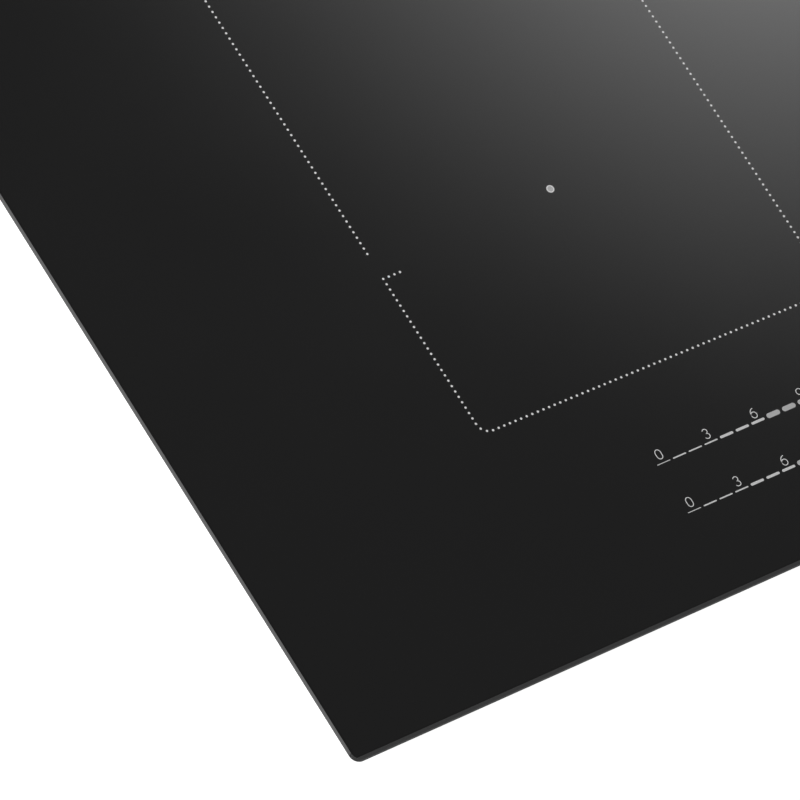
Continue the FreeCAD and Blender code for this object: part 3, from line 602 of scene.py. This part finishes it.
def build_sliders(name, x0):
    """Two slider scales whose segments grow wider, with the digits 0, 3, 6 and 9."""
    bars = Shapes()
    wide_bars = Shapes()
    digits = Shapes()
    for row in SLIDER_ROWS:
        for i in range(SLIDER_SEGMENTS):
            kind = segment_kind(i)
            width = SEGMENT_WIDTHS[kind]
            x = x0 + SLIDER_STEP * i
            y = row + SEGMENT_LIFTS[kind]
            half = (SEGMENT_L - width) / 2
            target = wide_bars if kind == len(SEGMENT_WIDTHS) - 1 else bars
            target.line([(x - half, y), (x, y), (x + half, y)], width, INK_LOW, INK_HIGH)
            if i % 3 == 0:
                for path, closed in digit_strokes(i):
                    pts = [(x + DIGIT_SHIFT + px * (DIGIT_W - DIGIT_STROKE),
                            row + DIGIT_UP + py * (DIGIT_H - DIGIT_STROKE)) for px, py in path]
                    digits.line(pts, DIGIT_STROKE, INK_LOW, INK_HIGH, closed)
    add_mesh("slider_bars_" + name, bars.verts, bars.faces, INK_PALE)
    add_mesh("slider_wide_bars_" + name, wide_bars.verts, wide_bars.faces, INK_GREY)
    add_mesh("slider_digits_" + name, digits.verts, digits.faces, INK_WHITE)


def build_keys():
    """Plain touch symbols between the sliders: power, pause, minus, plus and lock."""
    keys = Shapes()
    y = (SLIDER_ROWS[0] + SLIDER_ROWS[1]) / 2

    def stroke(x, points, closed=False):
        """A line through points that are given in mm from the middle of the symbol."""
        keys.line([(x + px * MM, y + py * MM) for px, py in points], KEY_PEN, INK_LOW, INK_HIGH, closed)

    stroke(POWER_X, arc(0, 0, 2.3, 2.3, 125, 415, 24))
    stroke(POWER_X, [(0, 0.4), (0, 1.6), (0, 2.9)])
    for dx in (-0.8, 0.8):
        stroke(PAUSE_X, [(dx, -2.0), (dx, 0), (dx, 2.0)])
    for x in (MINUS_X, PLUS_X):
        stroke(x, [(-2, 0), (0, 0), (2, 0)])
    stroke(PLUS_X, [(0, -2), (0, 0), (0, 2)])
    stroke(LOCK_X, [(-1.9, -2.2), (1.9, -2.2), (1.9, 0.6), (-1.9, 0.6)], True)
    stroke(LOCK_X, [(-1.2, 0.6)] + arc(0, 1.4, 1.2, 1.4, 180, 0, 10) + [(1.2, 0.6)])
    add_mesh("touch_symbols", keys.verts, keys.faces, INK_WHITE)


build_zone("left", 1)
build_zone("right", -1)
build_sliders("left", SLIDER_X0)
build_sliders("right", -SLIDER_X0 - SLIDER_STEP * (SLIDER_SEGMENTS - 1))
build_keys()


# ---- Coils, fans and screws in full detail ----
def litz_section(width, height):
    """Points round the flattened litz bundle, as (across, up)."""
    def squared(value):
        return math.copysign(abs(value) ** LITZ_SQUARENESS, value) / 2

    angles = [2 * math.pi * i / LITZ_POINTS for i in range(LITZ_POINTS)]
    return [(squared(math.cos(a)) * width, squared(math.sin(a)) * height) for a in angles]


def build_winding(place):
    """One spiral of litz wire from the inner radius out to the rim."""
    node = "coil_winding_" + place
    low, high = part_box(node)
    mid = (low + high) / 2
    section = litz_section(WIRE_PITCH - WIRE_GAP, high.z - low.z - WINDING_PLAY)
    start = COIL_INNER_R + WIRE_PITCH / 2
    end = (high.x - low.x) / 2 - WIRE_PITCH / 2
    turns = (end - start) / WIRE_PITCH
    steps = int(turns * TURN_STEPS)
    rings = []
    for k in range(steps + 1):
        radius = start + (end - start) * k / steps
        angle = 2 * math.pi * turns * k / steps
        c, u = math.cos(angle), math.sin(angle)
        rings.append([(mid.x + (radius + across) * c, mid.y + (radius + across) * u, mid.z + up)
                      for across, up in section])
    coil = Shapes()
    coil.loft(rings)
    piece = add_mesh("litz_spiral_" + place, coil.verts, coil.faces, FINISHES["copper_litz"], smooth=True)
    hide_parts(node)


def blade_rings(mid, low_z, high_z, tip_r, turn):
    """Airfoil sections of one swept and twisted blade, from inside the hub to its tip."""
    root_r = HUB_R - BLADE_ROOT
    rings = []
    for k in range(BLADE_STATIONS):
        share = k / (BLADE_STATIONS - 1)
        radius = root_r + (tip_r - root_r) * share
        sweep = turn + BLADE_SWEEP * share ** 1.5
        span = BLADE_SPAN - BLADE_TAPER * share
        rise = (high_z - low_z) * (1.0 - BLADE_DROP * share)
        base = (low_z + high_z - rise) / 2
        upper, lower = [], []
        for j in range(BLADE_POINTS):
            along = j / (BLADE_POINTS - 1)
            angle = sweep + span * (along - 0.5)
            camber = BLADE_CAMBER * math.sin(math.pi * along)
            half = BLADE_EDGE + BLADE_BODY * math.sin(math.pi * along ** 0.7)
            z = base + rise * min(1.0, max(0.0, along + camber * (0.5 - along)))
            x, y = mid.x + radius * math.cos(angle), mid.y + radius * math.sin(angle)
            upper.append((x, y, min(z + half, high_z)))
            lower.append((x, y, max(z - half, low_z)))
        rings.append(upper + lower[::-1])
    return rings


def turned_rings(mid, profile, count=36):
    """Rings of a turned form from its (radius, height) profile."""
    angles = [2 * math.pi * i / count for i in range(count)]
    return [[(mid.x + r * math.cos(a), mid.y + r * math.sin(a), z) for a in angles] for r, z in profile]


def build_rotor(side):
    """A hub on its shaft with seven swept blades."""
    node = "fan_rotor_" + side
    low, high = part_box(node)
    mid = (low + high) / 2
    tip_r = (high.x - low.x) / 2
    hub_z = low.z + HUB_UP
    fan = Shapes()
    fan.loft(turned_rings(mid, [
        (SHAFT_R, low.z), (SHAFT_R, hub_z),
        (HUB_R - 1.2 * MM, hub_z), (HUB_R - 0.3 * MM, hub_z + 0.3 * MM), (HUB_R, hub_z + 1.2 * MM),
        (HUB_R, high.z - 1.5 * MM), (HUB_R - 0.5 * MM, high.z - 0.4 * MM), (HUB_R - 1.6 * MM, high.z),
        (9.0 * MM, high.z), (8.6 * MM, high.z - 0.5 * MM), (1.0 * MM, high.z - 0.5 * MM)]))
    for i in range(BLADE_COUNT):
        turn = 2 * math.pi * i / BLADE_COUNT
        fan.loft(blade_rings(mid, hub_z + BLADE_PLAY, high.z - BLADE_PLAY, tip_r, turn))
    piece = add_mesh("impeller_" + side, fan.verts, fan.faces, FINISHES["fan_plastic"],
                     "fan_rotor_body_" + side)
    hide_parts(node)


def islands(name):
    """Boxes of the separate solids in a CAD node; vertices in the same place count as joined."""
    mesh = nodes[name].data
    joined = {}
    parent = list(range(len(mesh.vertices)))

    def root(i):
        while parent[i] != i:
            parent[i] = parent[parent[i]]
            i = parent[i]
        return i

    for v in mesh.vertices:
        key = tuple(round(c * 1e6) for c in v.co)
        parent[root(v.index)] = root(joined.setdefault(key, v.index))
    for edge in mesh.edges:
        parent[root(edge.vertices[0])] = root(edge.vertices[1])
    groups = {}
    for v in mesh.vertices:
        groups.setdefault(root(v.index), []).append(v.co)
    boxes = []
    for points in groups.values():
        low = Vector([min(p[k] for p in points) for k in range(3)])
        high = Vector([max(p[k] for p in points) for k in range(3)])
        boxes.append((low, high))
    return sorted(boxes, key=lambda box: tuple(box[0]))


def add_screw(shapes, seat, outward, head_r, head_h, shank_l):
    """A domed screw with a cross recess; seat is the centre of the underside of its head."""
    side = Vector((0, 0, 1)) if abs(outward.z) < 0.5 else Vector((1, 0, 0))
    other = outward.cross(side)

    def ring(radius, height):
        points = []
        for i in range(SCREW_STEPS):
            a = 2 * math.pi * i / SCREW_STEPS
            r = radius(a) if callable(radius) else radius
            points.append(tuple(seat + outward * height + (side * math.cos(a) + other * math.sin(a)) * r))
        return points

    def cross(scale):
        return lambda a: scale * head_r * (0.2 + 0.36 * abs(math.cos(2 * a)) ** 5)

    rings = [ring(SCREW_SHANK_R * 0.6, -shank_l), ring(SCREW_SHANK_R, SCREW_TIP - shank_l),
             ring(SCREW_SHANK_R, 0.0)]
    rings += [ring(head_r * share, head_h * rise) for share, rise in SCREW_HEAD]
    rings += [ring(cross(1.0), head_h), ring(cross(0.75), head_h * 0.4)]
    shapes.loft(rings)


def build_screws(node, name, head_r, head_h, outward_of):
    """A detailed screw in the place of each solid of a CAD node; outward_of gives the way its head faces."""
    screws = Shapes()
    for low, high in islands(node):
        mid = (low + high) / 2
        outward = outward_of(mid)
        length = abs((high - low).dot(outward))
        tip = mid + outward * length / 2
        add_screw(screws, tip - outward * head_h, outward, head_r, head_h, length - head_h)
    piece = add_mesh(name, screws.verts, screws.faces, FINISHES["zinc_screw"])
    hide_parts(node)


def wall_outward(point):
    """Direction out of the nearer pan wall."""
    low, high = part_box("base_pan")
    if min(point.x - low.x, high.x - point.x) < min(point.y - low.y, high.y - point.y):
        return Vector((math.copysign(1.0, point.x), 0, 0))
    return Vector((0, math.copysign(1.0, point.y), 0))


for coil_place in ("front_left", "rear_left", "front_right", "rear_right"):
    build_winding(coil_place)
for fan_side in ("left", "right"):
    build_rotor(fan_side)
build_screws("pan_screws", "pan_cross_screws", 3.3 * MM, 1.95 * MM, wall_outward)
build_screws("board_screws", "board_cross_screws", 2.7 * MM, 1.75 * MM, lambda middle: Vector((0, 0, 1)))
build_screws("former_screws", "former_cross_screws", 2.9 * MM, 1.95 * MM, lambda middle: Vector((0, 0, -1)))


# ---- Floor, lights and camera ----
def add_sheet(name, points, finish):
    """A flat sheet of the studio, outside the part."""
    mesh = bpy.data.meshes.new(name)
    mesh.from_pydata([tuple(p) for p in points], [], [tuple(range(len(points)))])
    mesh.materials.append(finish.material)
    sheet = bpy.data.objects.new(name, mesh)
    bpy.context.scene.collection.objects.link(sheet)
    return sheet


def build_floor():
    """A white floor, clear from below, that the hob reflects with a painted shadow, a grey patch along its
    front edge.
    """
    f = Finish("studio_white", FLOOR_WHITE, 0.95)
    f.shader.inputs["Emission Color"].default_value = (1.0, 1.0, 1.0, 1.0)
    f.shader.inputs["Specular IOR Level"].default_value = 0.0
    place = f.node("ShaderNodeSeparateXYZ")
    f.link(f.place, place.inputs[0])
    # Painted shadow: a grey, dimmer patch along and under the front edge stands in for the shade of the
    # overhanging hob; the camera sees the floor white, reflections see the patch.
    beyond_painted_shade = f.spread(place.outputs["Y"], 0.0, 1.0, GLASS_LOW.y + PAINTED_SHADE_FROM, GLASS_LOW.y + PAINTED_SHADE_TO)
    f.link(f.mixed(beyond_painted_shade, PAINTED_SHADE_GREY, FLOOR_WHITE), f.shader.inputs["Base Color"])
    seen = f.node("ShaderNodeLightPath")
    glow = f.node("ShaderNodeMath", operation="MAXIMUM")
    f.link(seen.outputs["Is Camera Ray"], glow.inputs[0])
    f.link(f.spread(beyond_painted_shade, PAINTED_SHADE_GLOW, FLOOR_GLOW, 0.0, 1.0), glow.inputs[1])
    f.link(glow.outputs[0], f.shader.inputs["Emission Strength"])
    clear = f.node("ShaderNodeBsdfTransparent")
    side = f.node("ShaderNodeNewGeometry")
    mix = f.node("ShaderNodeMixShader")
    f.link(side.outputs["Backfacing"], mix.inputs[0])
    f.link(f.shader.outputs[0], mix.inputs[1])
    f.link(clear.outputs[0], mix.inputs[2])
    f.link(mix.outputs[0], f.tree.nodes["Material Output"].inputs["Surface"])
    f.material.cycles.emission_sampling = "NONE"     # sampled as a light, its diagonal shows under the hob
    corners = [(x * FLOOR_HALF, y * FLOOR_HALF, CAD_BOX[0][2]) for x, y in ((-1, -1), (1, -1), (1, 1), (-1, 1))]
    floor = add_sheet("studio_floor", corners, f)


def build_softbox():
    """A round softbox above and behind the hob, brightest in its middle, that the glass reflects."""
    f = Finish("softbox_glow", (0.0, 0.0, 0.0), 0.9)
    away = f.node("ShaderNodeVectorMath", operation="DISTANCE")
    away.inputs[1].default_value = SOFTBOX_CENTRE
    f.link(f.place, away.inputs[0])
    near = f.spread(away.outputs["Value"], 1.0, 0.0, 0.0, SOFTBOX_R)
    fall_off = f.node("ShaderNodeMath", operation="POWER")
    fall_off.inputs[1].default_value = SOFTBOX_FALL_OFF
    f.link(near, fall_off.inputs[0])
    strength = f.node("ShaderNodeMath", operation="MULTIPLY_ADD")
    strength.inputs[1].default_value = SOFTBOX_PEAK
    strength.inputs[2].default_value = AMBIENT
    f.link(fall_off.outputs[0], strength.inputs[0])
    glow = f.node("ShaderNodeEmission")
    f.link(strength.outputs[0], glow.inputs["Strength"])
    f.link(glow.outputs[0], f.tree.nodes["Material Output"].inputs["Surface"])
    angles = [2 * math.pi * i / SOFTBOX_STEPS for i in range(SOFTBOX_STEPS)]
    rim = [SOFTBOX_CENTRE + Vector((math.cos(a), math.sin(a), 0)) * SOFTBOX_R for a in angles]
    softbox = add_sheet("softbox", rim[::-1], f)
    softbox.visible_camera = False


def build_world():
    """Even white light from all round."""
    world = bpy.data.worlds.new("studio")
    bpy.context.scene.world = world
    world.use_nodes = True
    background = world.node_tree.nodes["Background"]
    background.inputs["Color"].default_value = (1.0, 1.0, 1.0, 1.0)
    background.inputs["Strength"].default_value = AMBIENT


def build_key_light():
    """A large disc light from the left, which lights the print and the edges."""
    data = bpy.data.lights.new("key_left", "AREA")
    data.shape = "DISK"
    data.size = KEY_LIGHT_SIZE
    data.energy = KEY_LIGHT_POWER
    light = bpy.data.objects.new("key_left", data)
    bpy.context.scene.collection.objects.link(light)
    light.location = KEY_LIGHT_PLACE
    light.rotation_euler = (-KEY_LIGHT_PLACE).to_track_quat("-Z", "Y").to_euler()


def build_camera():
    """Looks down on the front-left corner from the left, rolled to the right, through a long lens."""
    azimuth, elevation, roll = (math.radians(a) for a in CAMERA_ANGLES)
    back = Vector((math.sin(azimuth) * math.cos(elevation), -math.cos(azimuth) * math.cos(elevation),
                   math.sin(elevation)))
    level = Vector((math.cos(azimuth), math.sin(azimuth), 0.0))
    upright = back.cross(level)
    right = level * math.cos(roll) + upright * math.sin(roll)
    up = back.cross(right)
    data = bpy.data.cameras.new("camera")
    data.lens = CAMERA_LENS
    data.sensor_width = 36.0
    data.clip_start = 0.1
    data.clip_end = 200.0
    camera = bpy.data.objects.new("camera", data)
    bpy.context.scene.collection.objects.link(camera)
    turned = Matrix((right, up, back)).transposed().to_4x4()
    camera.matrix_world = Matrix.Translation(CAMERA_TARGET + back * CAMERA_DISTANCE) @ turned
    bpy.context.scene.camera = camera


build_floor()
build_softbox()
build_world()
build_key_light()
build_camera()
bpy.context.scene.view_settings.view_transform = "Standard"
